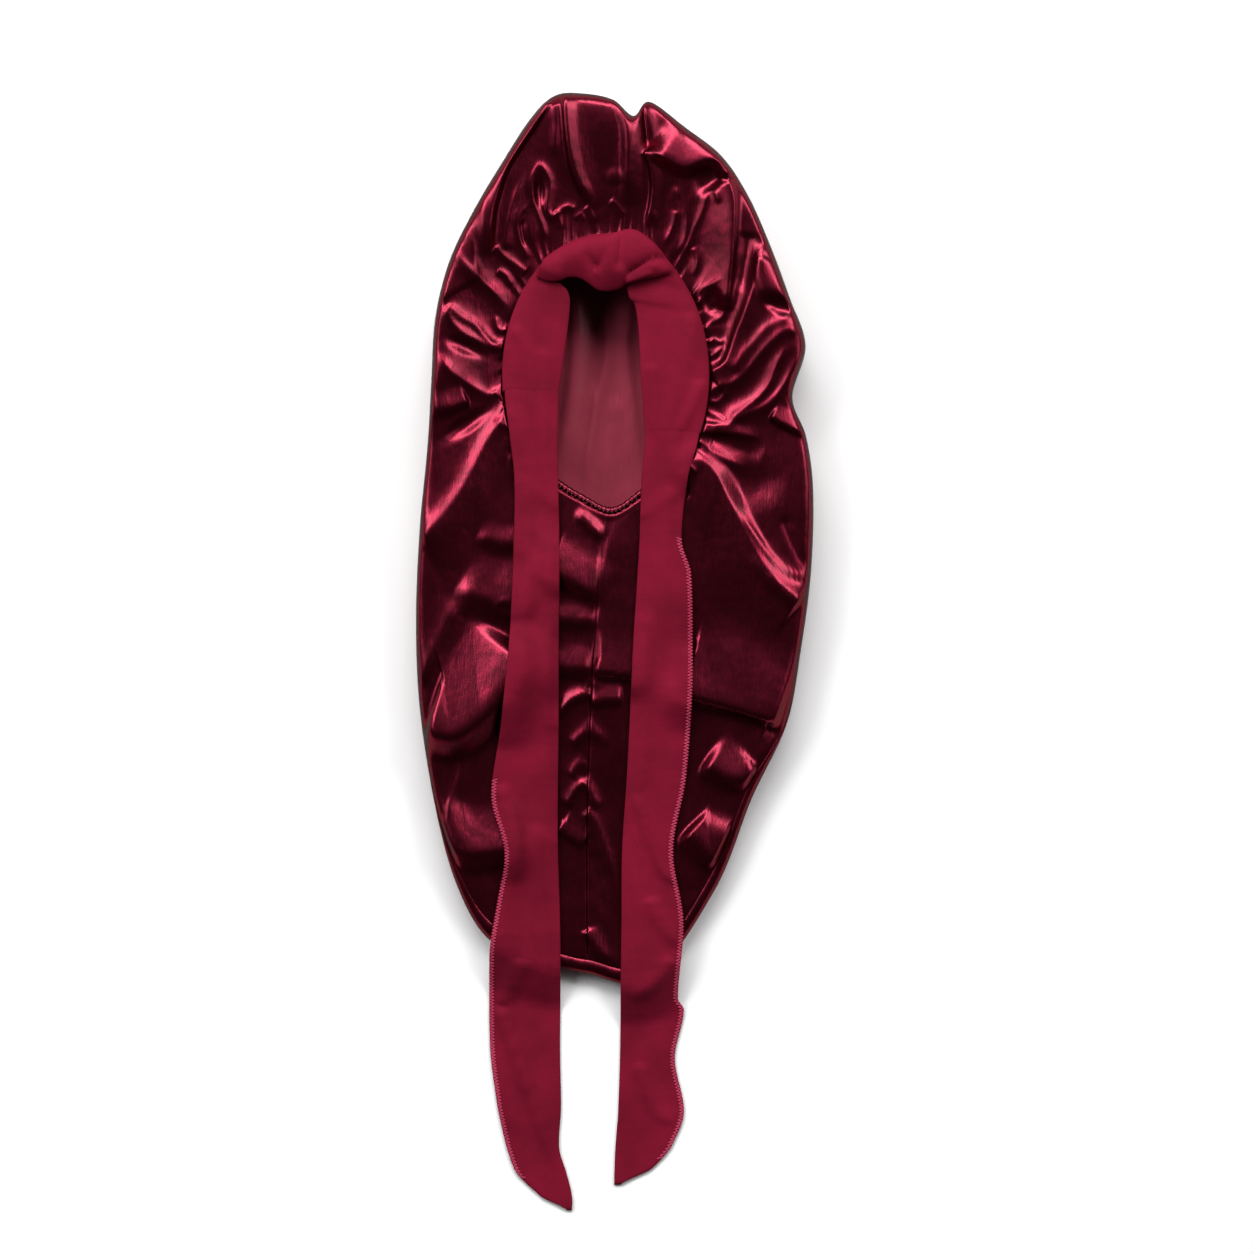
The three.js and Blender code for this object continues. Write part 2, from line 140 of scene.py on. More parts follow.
def listed(rows, column, at, share):
    """A column of a table whose rows stand at the values of another column."""
    places = np.array([row[at] for row in rows], dtype=float)
    values = np.array([row[column] for row in rows], dtype=float)
    row = np.clip(np.searchsorted(places, share, side="right") - 1, 0, len(rows) - 2)
    before, after = np.maximum(row - 1, 0), np.minimum(row + 2, len(rows) - 1)
    inside = (share - places[row]) / (places[row + 1] - places[row])
    return through(values[before], values[row], values[row + 1], values[after], np.clip(inside, 0, 1))


def spline(points, count=28):
    """Evenly shared places on a curve through a few points."""
    points = np.array(points, dtype=float)
    share = np.linspace(0, len(points) - 1, count)
    row = np.clip(np.floor(share).astype(int), 0, len(points) - 2)
    ends = [points[np.clip(row + step, 0, len(points) - 1)] for step in (-1, 0, 1, 2)]
    return through(*ends, (share - row)[:, None])


def folded(x, y, folds):
    """The height that a table of folds gives to places in plan, in metres."""
    height = np.zeros_like(x)
    for fold in folds:
        line = spline(fold["line"]) * MM
        reach = 3.2 * max(fold["left"], fold["right"]) * MM
        low, high = line.min(axis=0) - reach, line.max(axis=0) + reach
        near = (x > low[0]) & (x < high[0]) & (y > low[1]) & (y < high[1])
        if not near.any():
            continue
        place = np.stack([x[near], y[near]], axis=1)[:, None]
        start, step = line[:-1], np.diff(line, axis=0)
        along = np.sum((place - start) * step, axis=2) / np.sum(step * step, axis=1)
        along = np.clip(along, 0, 1)
        apart = place - (start + along[..., None] * step)
        distance = np.linalg.norm(apart, axis=2)
        nearest = np.argmin(distance, axis=1)
        pick = np.arange(len(nearest))
        apart, distance = apart[pick, nearest], distance[pick, nearest]
        share = (nearest + along[pick, nearest]) / len(step)
        side = step[nearest, 0] * apart[:, 1] - step[nearest, 1] * apart[:, 0]
        away = distance / (np.where(side > 0, fold["left"], fold["right"]) * MM)
        start_taper, end_taper = fold.get("taper", (0.12, 0.3))
        taper = smooth(share / max(start_taper, 1e-3)) * smooth((1 - share) / max(end_taper, 1e-3))
        height[near] += fold["height"] * MM * fold_profile(away, fold.get("crest")) * taper
    return height


def fold_profile(away, crest):
    """A fold's height, as a share, this many widths from its line: a ridge, or an even slope without a crest."""
    if crest is None:
        left = 1 - np.hypot(away, 0.1)
        return (left + np.hypot(left, 0.12)) / 1.81
    return np.exp(0.2**crest - (away**2 + 0.04) ** (crest / 2))


def heaped(x, y, mounds):
    """The height that a table of oval mounds and hollows gives to places in plan, in metres."""
    height = np.zeros_like(x)
    for mound in mounds:
        angle = math.radians(mound.get("angle", 0))
        right, up = x - mound["x"] * MM, y - mound["y"] * MM
        across = (right * math.cos(angle) + up * math.sin(angle)) / (mound["wide"] * MM)
        along = (up * math.cos(angle) - right * math.sin(angle)) / (mound["long"] * MM)
        out = np.hypot(across, along)
        height += mound["height"] * MM * smooth((1 - out) / mound["edge"])
    return height


def opening_edge(turn, inset):
    """Places on an oval round the face opening, from the nape clockwise, taken in by a distance."""
    angle = turn * 2 * math.pi
    x = OPENING_X - (OPENING_WIDTH / 2 - inset) * np.sin(angle)
    y = OPENING_Y - (OPENING_LENGTH / 2 - inset) * np.cos(angle)
    nape = smooth((np.cos(angle) - 0.5) / 0.35)
    return x, y + NAPE_RISE * nape * (1 - np.exp(-(((x - NAPE_X) / NAPE_SPREAD) ** 2)))


def bag_edge(turn):
    """Places on the bag's outermost edge, and its height."""
    x = ringed(BAG_ROWS, "x", turn) * BAG_WIDTH / 2
    y = ringed(BAG_ROWS, "y", turn) * BAG_LENGTH + TAIL_Y
    return x, y, ringed(BAG_ROWS, "edge", turn) * MM


def satin_height(turn, out):
    """The front's height without its folds, from the opening at 0 to the bag's outermost edge at 1."""
    edge, top, sink = (ringed(BAG_ROWS, column, turn) * MM for column in ("edge", "top", "sink"))
    crest = ringed(BAG_ROWS, "crest", turn)
    level = RIM_HEIGHT + (top - RIM_HEIGHT) * smooth(out / crest)
    level = level - sink * (np.maximum(0, out - crest) / (1 - crest)) ** 1.4
    return edge + (level - edge) * np.maximum(0, 1 - out**PLATEAU) ** 0.55


def back_place(turn, down):
    """The back panel, from its seam with the front at 0, round the bag's edge, to its middle at 1."""
    x, y, edge = bag_edge(turn)
    rim_x, rim_y = opening_edge(turn, 0)
    length = np.hypot(rim_x - x, rim_y - y)
    in_x, in_y = (rim_x - x) / length, (rim_y - y) / length
    seam = np.radians(ringed(BAG_ROWS, "seam", turn))
    curl = np.clip(down / 0.18, 0, 1)
    profile = seam + (math.pi - seam) * curl
    outside = np.maximum(0, math.pi / 2 - profile)
    round_in = edge * (1 - np.sin(np.maximum(profile, math.pi / 2)))
    lip_in = length * (1 - np.cos(outside))
    height = edge * (1 + np.cos(np.maximum(profile, math.pi / 2)))
    height = np.where(outside > 0, satin_height(turn, np.cos(outside)), height)
    x, y = x + in_x * (round_in + lip_in), y + in_y * (round_in + lip_in)
    inward = np.clip((down - 0.18) / 0.82, 0, 1)
    x = x + (BACK_MIDDLE[0] - x) * inward
    y = y + (BACK_MIDDLE[1] - y) * inward
    flat = smooth(inward / 0.12)
    rise = np.maximum(folded(x, y, BACK_FOLDS), 0) * flat
    return x, y, height + rise + SATIN_THICKNESS * 1.5


def sheet_of_cloth(name, columns, rows, place, looped=False):
    """A grid with as many columns and rows, each of whose corners is laid at place(column's share, row's share)."""
    bm = bmesh.new()
    bm.loops.layers.uv.new("Cloth")
    bmesh.ops.create_grid(bm, x_segments=columns, y_segments=rows, size=0.5, calc_uvs=True)
    mesh = bpy.data.meshes.new(name)
    bm.to_mesh(mesh)
    bm.free()
    flat = np.empty(len(mesh.vertices) * 3)
    mesh.vertices.foreach_get("co", flat)
    flat = flat.reshape(-1, 3)
    x, y, z = place(flat[:, 0] + 0.5, flat[:, 1] + 0.5)
    mesh.vertices.foreach_set("co", np.stack([x, y, z], axis=1).ravel())
    bm = bmesh.new()
    bm.from_mesh(mesh)
    if looped:
        bmesh.ops.remove_doubles(bm, verts=bm.verts, dist=0.02 * MM)
    bmesh.ops.recalc_face_normals(bm, faces=bm.faces)
    bm.to_mesh(mesh)
    bm.free()
    mesh.shade_smooth()
    piece = bpy.data.objects.new(name, mesh)
    bpy.context.scene.collection.objects.link(piece)
    return piece


def faces_up(piece, up=True):
    """Turns a sheet over where most of it looks the wrong way."""
    normals = sum(face.normal.z * face.area for face in piece.data.polygons)
    if (normals > 0) != up:
        piece.data.flip_normals()


def thicken(piece, thickness, offset, inside=0):
    """Gives a sheet its thickness, and its inner face the material that many slots on."""
    solid = piece.modifiers.new("Thickness", "SOLIDIFY")
    solid.thickness = thickness
    solid.offset = offset
    solid.material_offset = inside
    solid.use_even_offset = False


class Number:
    """A number that varies over a material. Arithmetic on it adds Math nodes."""

    def __init__(self, finish, socket):
        self.finish = finish
        self.socket = socket

    def math(self, operation, *values):
        inputs = dict(enumerate(values))
        node = self.finish.node("ShaderNodeMath", dict(operation=operation), inputs)
        return Number(self.finish, node.outputs[0])

    def __add__(self, other):
        return self.math("ADD", self, other)

    def __sub__(self, other):
        return self.math("SUBTRACT", self, other)

    def __rsub__(self, other):
        return self.math("SUBTRACT", other, self)

    def __mul__(self, other):
        return self.math("MULTIPLY", self, other)

    def __pow__(self, other):
        return self.math("POWER", self, other)

    __radd__ = __add__
    __rmul__ = __mul__


class Finish:
    """A cloth's material. Its constant looks are set on the shader itself."""

    def __init__(self, name, **looks):
        self.material = bpy.data.materials.new(name)
        self.material.use_nodes = True
        self.tree = self.material.node_tree
        self.shader = self.tree.nodes["Principled BSDF"]
        for socket, value in looks.items():
            self.shader.inputs[socket.replace("_", " ")].default_value = value

    def node(self, kind, settings=None, inputs=None):
        made = self.tree.nodes.new(kind)
        for name, value in (settings or {}).items():
            setattr(made, name, value)
        for name, value in (inputs or {}).items():
            self.feed(made.inputs[name], value)
        return made

    def feed(self, socket, value):
        if isinstance(value, Number):
            value = value.socket
        if isinstance(value, bpy.types.NodeSocket):
            self.tree.links.new(value, socket)
        else:
            socket.default_value = value

    def place(self, scale=(1, 1, 1), turn=0.0):
        """Object coordinates, stretched and turned."""
        coordinates = self.node("ShaderNodeTexCoord").outputs["Object"]
        inputs = {"Vector": coordinates, "Scale": scale, "Rotation": (0, 0, turn)}
        return self.node("ShaderNodeMapping", None, inputs).outputs["Vector"]

    def noise(self, scale, detail=3.0, rough=0.5, at=None):
        inputs = {"Scale": scale, "Detail": detail, "Roughness": rough, "Vector": at or self.place()}
        return Number(self, self.node("ShaderNodeTexNoise", None, inputs).outputs["Fac"])

    def bands(self, scale, distortion=0.0, at=None):
        inputs = {"Scale": scale, "Distortion": distortion, "Detail": 1.0, "Vector": at or self.place()}
        return Number(self, self.node("ShaderNodeTexWave", None, inputs).outputs["Fac"])

    def creases(self, scale, at=None):
        """Thin crossing lines, 1 on a line and 0 away from it."""
        inputs = {"Scale": scale, "Vector": at or self.place()}
        cells = self.node("ShaderNodeTexVoronoi", dict(feature="DISTANCE_TO_EDGE"), inputs)
        return Number(self, cells.outputs["Distance"])

    def colour(self, amount, low, high):
        mixed = self.node("ShaderNodeMix", dict(data_type="RGBA"))
        self.feed(mixed.inputs[0], amount)
        self.feed(mixed.inputs[6], (*low, 1))
        self.feed(mixed.inputs[7], (*high, 1))
        self.feed(self.shader.inputs["Base Color"], mixed.outputs[2])

    def bump(self, height, distance, strength=1.0):
        inputs = {"Height": height, "Distance": distance, "Strength": strength}
        bumped = self.node("ShaderNodeBump", None, inputs)
        self.feed(self.shader.inputs["Normal"], bumped.outputs["Normal"])


EDGE_TINT = (0.1, 0.02, 0.04, 1)  # keeps the satin dark where it turns away


def satin_finish(name, low, high, rough, metal):
    """Glossy satin: fine floats along the cloth, small creases from packing, and uneven gloss."""
    finish = Finish(name, Metallic=metal, Specular_IOR_Level=0.2, Specular_Tint=EDGE_TINT, Coat_Weight=0.16, Coat_Roughness=0.24)
    blotches = finish.noise(26.0)
    floats = finish.noise(900.0, 2.0, 0.6, finish.place((1, 0.12, 1)))
    soft = finish.noise(60.0, 2.0)
    crossing = finish.noise(34.0, 4.0, 0.65, finish.place((1.0, 0.35, 1.0), 0.5))
    finish.colour(blotches, low, high)
    finish.feed(finish.shader.inputs["Roughness"], rough + 0.10 * (floats - 0.5) + 0.08 * (soft - 0.5))
    crinkle = finish.creases(30.0, finish.place((1.0, 0.5, 1.0), 0.7))
    finish.bump(floats * 0.14 + crossing * 0.8 + soft * 0.7 + crinkle * 1.8, 1.1 * MM, 0.8)
    return finish.material


satin = satin_finish("Wine satin", (0.12, 0.006, 0.017), (0.17, 0.0098, 0.027), 0.315, 0.97)
wrong_side = satin_finish("Wrong side of the satin", (0.24, 0.028, 0.048), (0.32, 0.042, 0.07), 0.55, 0.1)

back_panel = sheet_of_cloth("back_panel_satin", BACK_COLUMNS, BACK_ROWS, back_place, looped=True)
faces_up(back_panel, up=False)
back_panel.data.materials.append(satin)
back_panel.data.materials.append(wrong_side)
thicken(back_panel, SATIN_THICKNESS, -1, 1)
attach(back_panel, "root")
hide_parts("back_panel")

# The two front panels: the satin that shows. Each is cut in one from the opening to the side seam, gathered on
# to the opening's elastic so that its folds fan out, and sewn to its neighbour down the middle and at the crown.

CROWN_SEAM = 19 / 36
FRONT_COLUMNS = 300
FRONT_ROWS = 150
RUFFLES = 62
RUFFLE_LENGTH = 6 * MM
UNEVEN = 0.35 * MM  # how far the satin wanders between its folds
SEAM_BOW = 5 * MM  # how far the centre seam bends to the left
SEAM_DEPTH = 0.9 * MM

# Narrow folds and creases, as in the back panel's table.
FRONT_FOLDS = [
    # the crown, left of the crease
    dict(line=[(-70, 264), (-69, 275), (-66, 290), (-62, 303), (-57, 314)], left=2.5, right=3, height=1.56, crest=1.3),
    dict(line=[(-44, 270), (-46, 280), (-50, 290), (-53, 300), (-53, 310), (-50, 317), (-48, 319), (-44, 315), (-41, 308),
               (-42, 298), (-43, 290), (-40, 286), (-37, 288), (-34, 291), (-29, 293), (-25, 290)], left=2, right=2,
         height=1.5, crest=1.1, taper=(0.05, 0.04)),
    dict(line=[(-55, 258), (-61, 272), (-62, 284), (-58, 291), (-53, 297)], left=2, right=2, height=1.4, crest=1.1),
    dict(line=[(-60, 283), (-59, 275), (-57, 266)], left=1.4, right=1.4, height=-1.5, crest=1.3),
    dict(line=[(-38, 360), (-37, 342), (-39, 324)], left=3, right=3, height=1.2, crest=1.5),
    dict(line=[(-37, 290), (-35, 284), (-34, 278)], left=1.6, right=1.6, height=0.972, crest=1.2),
    dict(line=[(-25, 285), (-21, 288), (-19, 283)], left=1.4, right=1.4, height=0.888, crest=1.2),
    dict(line=[(-18, 293), (-15, 289), (-13, 282)], left=2, right=2, height=1.14, crest=1.2),
    dict(line=[(-2, 297), (3, 293), (7, 286)], left=2, right=2, height=1.14, crest=1.1),
    dict(line=[(-107, 266), (-98, 255), (-88, 246), (-78, 237), (-66, 224)], left=4, right=5, height=2.4, crest=1.2),
    dict(line=[(-77, 266), (-70, 259), (-65, 256), (-57, 250)], left=2.5, right=2.5, height=1.35, crest=1.1,
         taper=(0.05, 0.05)),
    dict(line=[(-76, 251), (-70, 248), (-66, 241)], left=2, right=2, height=1.14, crest=1.2),
    dict(line=[(-101, 281), (-92, 268), (-90, 255), (-87, 242)], left=3, right=5, height=1.8, crest=1.4),
    dict(line=[(-85, 305), (-84, 280), (-84, 252)], left=3, right=3, height=0.9, crest=1.6),
    # the crown, right of the crease
    dict(line=[(73, 312), (78, 298), (78, 280), (77, 262), (75, 240), (74, 224)], left=3, right=13, height=5, crest=1.7,
         taper=(0.1, 0.15)),
    dict(line=[(20, 368), (20.5, 352), (22, 338), (22, 326)], left=5, right=2, height=-5.5, crest=1.2, taper=(0.01, 0.3)),
    dict(line=[(40, 306), (46, 294), (48, 284), (46, 270), (39, 260)], left=2, right=2, height=1.14, crest=1.1),
    dict(line=[(41, 290), (39, 280), (33, 268)], left=1.8, right=1.8, height=1.06, crest=1.2),
    dict(line=[(69, 294), (66, 301), (61, 300), (58, 290), (52, 276), (46, 261)], left=1.8, right=1.8, height=1.06,
         crest=1.1, taper=(0.08, 0.1)),
    dict(line=[(52, 266), (55, 258), (52, 247)], left=1.6, right=1.6, height=0.972, crest=1.2),
    dict(line=[(88, 275), (86, 256), (83, 236)], left=5, right=4, height=-2.2, crest=1.7),
    dict(line=[(94, 260), (98, 260), (103, 257)], left=1.6, right=1.6, height=-1, crest=1.3),
    dict(line=[(97, 268), (94, 255), (91, 240), (86, 225), (80, 210), (76, 198), (72, 190), (62, 183)],
         left=10, right=3, height=4, crest=1.3, taper=(0.12, 0.06)),
    dict(line=[(55, 228), (57, 237), (63, 242), (72, 246)], left=1.8, right=1.8, height=1.06, crest=1.2),
    dict(line=[(56, 211), (64, 217), (71, 221), (74, 230)], left=1.8, right=1.8, height=1.06, crest=1.1, taper=(0.05, 0.1)),
    dict(line=[(62, 203), (66, 207), (69, 204), (74, 206)], left=1.4, right=1.4, height=0.888, crest=1.1),
    dict(line=[(60, 193), (66, 196), (70, 200), (73, 202)], left=1.6, right=1.6, height=0.972, crest=1.1),
    # beside the opening, left
    dict(line=[(-69, 204), (-78, 203), (-84, 208), (-90, 215), (-100, 221), (-109, 229)], left=2.5, right=3, height=1.56,
         crest=1.2, taper=(0.02, 0.1)),
    dict(line=[(-69, 200), (-80, 201), (-90, 206), (-99, 211), (-106, 218), (-110, 227)], left=3, right=3.5, height=1.77,
         crest=1.1, taper=(0.02, 0.1)),
    dict(line=[(-77, 222), (-76, 215), (-73, 212), (-69, 213)], left=2, right=2, height=1.14, crest=1.2, taper=(0.2, 0.05)),
    dict(line=[(-69, 166), (-77, 170), (-83, 170), (-90, 174), (-100, 181), (-108, 187), (-115, 197)], left=4.5, right=4,
         height=2.19, crest=1.1, taper=(0.02, 0.15)),
    dict(line=[(-70, 180), (-75, 173), (-80, 170)], left=2.2, right=2.2, height=1.22, crest=1.3, taper=(0.03, 0.3)),
    dict(line=[(-66, 159), (-76, 148), (-85, 133), (-94, 114), (-104, 98), (-117, 83), (-128, 76)], left=14, right=8,
         height=5, crest=1.5, taper=(0.03, 0.1)),
    dict(line=[(-65, 150), (-72, 150), (-79, 155)], left=2, right=2, height=1.14, crest=1.2, taper=(0.03, 0.4)),
    dict(line=[(-66, 139), (-64, 135), (-60, 131)], left=2, right=2, height=1.14, crest=1.3),
    dict(line=[(-67, 131), (-67, 122), (-61, 114)], left=2, right=2, height=1.14, crest=1.3),
    # beside the opening, right
    dict(line=[(77, 184), (84, 195), (92, 204), (100, 213), (112, 219), (121, 225)], left=4, right=5, height=1.6, crest=1.4),
    dict(line=[(60, 170), (70, 176), (77, 177), (86, 184), (94, 194), (102, 203), (111, 210), (123, 213)], left=5,
         right=4, height=2.4, crest=1.2, taper=(0.03, 0.1)),
    dict(line=[(60, 166), (69, 166), (76, 175)], left=2, right=2, height=1.14, crest=1.2, taper=(0.03, 0.3)),
    dict(line=[(74, 152), (84, 160), (95, 168), (102, 177), (106, 188), (112, 198), (120, 204)], left=5, right=3,
         height=2.4, crest=1.3),
    dict(line=[(56, 151), (68, 150), (76, 151), (86, 157), (98, 162), (108, 171), (116, 184), (125, 200)], left=3.5,
         right=5, height=2.4, crest=1.2, taper=(0.03, 0.1)),
    dict(line=[(60, 160), (69, 155), (74, 152)], left=2, right=2, height=1.14, crest=1.3, taper=(0.03, 0.3)),
    dict(line=[(55, 141), (64, 134), (75, 127), (92, 120)], left=3, right=3, height=1.56, crest=1.3, taper=(0.03, 0.4)),
    dict(line=[(64, 142), (80, 136), (98, 129)], left=6, right=6, height=-2.2, crest=1.6),
    dict(line=[(84, 93), (90, 82), (100, 68), (110, 57), (119, 52), (131, 51)], left=2.5, right=2.5, height=1.35,
         crest=1.2, taper=(0.2, 0.05)),
    dict(line=[(111, 90), (118, 72), (127, 55)], left=3, right=3, height=-1.5, crest=1.5),
    dict(line=[(46, 124), (51, 122), (54, 118)], left=2, right=2, height=1.14, crest=1.3),
    # the lower body
    dict(line=[(-66, 33), (-73, 34), (-80, 29)], left=2, right=2, height=1.14, crest=1.3),
    dict(line=[(-66, 26), (-72, 27), (-80, 29)], left=2, right=2, height=1.14, crest=1.3),
    dict(line=[(-100, 36), (-108, 22), (-114, 9), (-120, -4), (-128, -18)], left=5, right=7, height=3.2, crest=1.5,
         taper=(0.2, 0.1)),
    dict(line=[(-98, -62), (-101, -82), (-108, -98), (-118, -108)], left=4, right=4, height=1.6, crest=1.5),
    dict(line=[(100, -47), (108, -51), (112, -58)], left=4, right=5, height=-3, crest=1.5),
    # along the centre seam
    dict(line=[(-36, -40), (-30, -32), (-24, -28), (-15, -25)], left=3, right=3, height=1.56, crest=1.3, taper=(0.3, 0.1)),
    dict(line=[(-28, -60), (-21, -53), (-16, -51), (-11, -53), (-3, -62)], left=4, right=3, height=2.2, crest=1.4),
    dict(line=[(-18, -44), (-15, -46), (-12, -45)], left=2, right=2, height=1.14, crest=1.3),
    dict(line=[(-17, -17), (-13, -19), (-10, -17)], left=2, right=2, height=1.14, crest=1.3),
    dict(line=[(-28, -80), (-24, -73), (-18, -70)], left=3, right=3, height=1.56, crest=1.4),
    dict(line=[(-20, -83), (-26, -91), (-31, -100)], left=2.5, right=4, height=2, crest=1.4, taper=(0.02, 0.2)),
    dict(line=[(-20, -83), (-16, -90), (-11, -102)], left=4, right=2.5, height=2.2, crest=1.4, taper=(0.02, 0.2)),
    dict(line=[(-18, -103), (-12, -114), (-6, -132), (-1, -152), (4, -182)], left=5, right=3, height=2.6, crest=1.5,
         taper=(0.02, 0.5)),
    dict(line=[(-14, -130), (-8, -152), (-4, -175)], left=2, right=2, height=-1, crest=1.4),
]

# Broad even slopes that rise to a sharp fold, and drop steeply behind it.
FRONT_SLOPES = [
    # the crown
    dict(line=[(-32, 368), (-31, 350), (-30, 334), (-27, 316), (-21, 302), (-14, 290)], left=8, right=2.5, height=2,
         taper=(0.01, 0.25)),
    dict(line=[(-32, 368), (-31, 350), (-29, 334), (-25, 316), (-18, 302), (-10, 290)], left=15, right=4, height=2.4,
         taper=(0.01, 0.25)),
    dict(line=[(0, 364), (8, 346), (9, 320), (8, 292)], left=11, right=5, height=3.4, taper=(0.01, 0.3)),
    dict(line=[(22, 331), (34, 323), (46, 317), (56, 320), (64, 322), (70, 319), (75, 309)], left=27, right=6, height=6.6,
         taper=(0.15, 0.08)),
    dict(line=[(20, 328), (24, 318), (25.5, 306), (24, 292), (21, 280)], left=8, right=2, height=3, taper=(0.03, 0.2)),
    dict(line=[(-80, 258), (-79, 284), (-75, 302), (-69, 318), (-59, 334), (-49, 349), (-42, 362)], left=15, right=3,
         height=4.6, taper=(0.15, 0.05)),
    dict(line=[(92, 236), (106, 237), (120, 231)], left=24, right=9, height=3.2, taper=(0.3, 0.05)),
    dict(line=[(-112, 232), (-100, 240), (-88, 246)], left=18, right=3, height=1.6),
    # beside the opening
    dict(line=[(-94, 166), (-106, 161), (-120, 158)], left=4, right=12, height=3.36),
    dict(line=[(56, 146), (75, 145), (98, 141)], left=7, right=3, height=2.52, taper=(0.03, 0.4)),
    dict(line=[(102, 156), (112, 150), (127, 143)], left=10, right=3, height=3.64),
    dict(line=[(46, 126), (58, 126), (67, 117), (74, 104), (83, 85), (93, 66), (103, 51), (112, 42), (123, 34)],
         left=10, right=26, height=4.8, taper=(0.03, 0.04)),
    dict(line=[(92, 68), (103, 51), (112, 42), (123, 34)], left=15, right=8, height=3, taper=(0.4, 0.02)),
    # the lower right
    dict(line=[(46, -27), (70, -33), (90, -39), (110, -45)], left=46, right=4.5, height=8.4, taper=(0, 0.12)),
    dict(line=[(58, -71), (72, -80), (84, -82), (95, -75)], left=24, right=8, height=6.44, taper=(0.15, 0.1)),
    dict(line=[(46, -116), (57, -127), (66, -135), (74, -124), (81, -108)], left=34, right=8, height=7, taper=(0.1, 0.2)),
    # the lower left
    dict(line=[(-54, 4), (-68, -18), (-78, -32), (-90, -44), (-105, -53), (-124, -49)], left=16, right=46, height=14.5,
         taper=(0.1, 0.05)),
    dict(line=[(-56, 74), (-74, 73), (-90, 79)], left=7, right=12, height=2.52, taper=(0, 0.3)),
    dict(line=[(-56, 38), (-80, 36), (-104, 46)], left=16, right=26, height=5.04, taper=(0, 0.3)),
    dict(line=[(-118, -122), (-104, -127), (-92, -130), (-66, -127)], left=30, right=14, height=8.4, taper=(0.05, 0.05)),
    # along the centre seam
    dict(line=[(-26, 94), (-16, 84), (-6, 76)], left=8, right=4, height=2.6, taper=(0.3, 0.3)),
    dict(line=[(-44, 57), (-24, 46), (-6, 35)], left=24, right=8, height=6.2, taper=(0, 0.45)),
    dict(line=[(-44, 24), (-24, 22), (-8, 23)], left=12, right=7, height=3.1, taper=(0, 0.4)),
    dict(line=[(-44, -8), (-24, -9), (-11, -9)], left=16, right=8, height=4.2, taper=(0, 0.4)),
    dict(line=[(-38, -41), (-30, -32), (-24, -28), (-14, -25)], left=8, right=4, height=2.2, taper=(0, 0.3)),
    dict(line=[(-12, -12), (-4, -13), (14, -15)], left=28, right=2.5, height=4.76, taper=(0.05, 0)),
    dict(line=[(-14, -33), (-8, -31), (6, -30)], left=11, right=3, height=3.08, taper=(0.05, 0.1)),
    dict(line=[(-36, -114), (-28, -120), (-19, -125)], left=14, right=4, height=2.52, taper=(0, 0.1)),
    dict(line=[(-19, -182), (-12, -194), (-3, -212)], left=10, right=3, height=2.52, taper=(0.1, 0.1)),
]

FRONT_MOUNDS = [
    dict(x=-48, y=303, wide=4.5, long=13, height=-2.5, edge=0.8),
    dict(x=60, y=308, wide=12, long=12, height=-2.5, edge=0.8),
    dict(x=65, y=231, wide=8, long=11, height=-3, edge=0.8),
    dict(x=-53, y=278, wide=7, long=14, height=1.5, edge=0.8),
    dict(x=108, y=227, wide=14, long=7, angle=-25, height=-2.6, edge=0.9),
    dict(x=92, y=112, wide=26, long=22, height=-3.6, edge=1),
    dict(x=-97, y=201, wide=18, long=6, angle=-22, height=-2.4, edge=0.9),
    dict(x=-97, y=150, wide=24, long=7, angle=35, height=-2.6, edge=0.9),
    dict(x=0, y=312, wide=9, long=7, height=1, edge=0.9),
]


def front_place_between(start, end):
    """One front panel, from the opening's edge at 0 to the side seam at 1."""

    def place(across, down):
        across = np.interp(across, [0, 0.01, 0.03, 0.97, 0.99, 1], [0, 0.0025, 0.03, 0.97, 0.9975, 1])
        turn = start + (end - start) * across
        rim_x, rim_y = opening_edge(turn, 0)
        edge_x, edge_y, edge = bag_edge(turn)
        profile = np.radians(ringed(BAG_ROWS, "seam", turn)) * down
        out = np.sin(np.minimum(profile, math.pi / 2))
        x = rim_x + (edge_x - rim_x) * out
        y = rim_y + (edge_y - rim_y) * out
        beside = np.minimum(np.mod(turn, 1), 1 - np.mod(turn, 1))
        x = x - SEAM_BOW * np.sin(math.pi * out) * smooth(1 - beside / 0.06)
        length = np.hypot(edge_x - rim_x, edge_y - rim_y)
        height = satin_height(turn, out)
        from_rim = length * out
        free = smooth(from_rim / (3.5 * MM))
        shape = folded(x, y, FRONT_FOLDS + FRONT_SLOPES) + heaped(x, y, FRONT_MOUNDS)
        shape = shape + UNEVEN * np.sin(x / (11 * MM) + 1.3 * np.sin(y / (17 * MM))) * np.sin(y / (13 * MM) + x / (31 * MM))
        from_seam = beside * 2 * math.pi * length * out * 0.8
        free = free * (1 - smooth((down - 0.93) / 0.07))
        height = height + shape * free * (1 - out**24) - SEAM_DEPTH * np.exp(-(from_seam / (0.55 * MM)) ** 2) * free
        under = np.maximum(0, profile - math.pi / 2)
        height = height - edge * np.sin(under)
        return (*ruffled(x, y, turn, from_rim), height + ruffle_height(turn, from_rim))

    return place


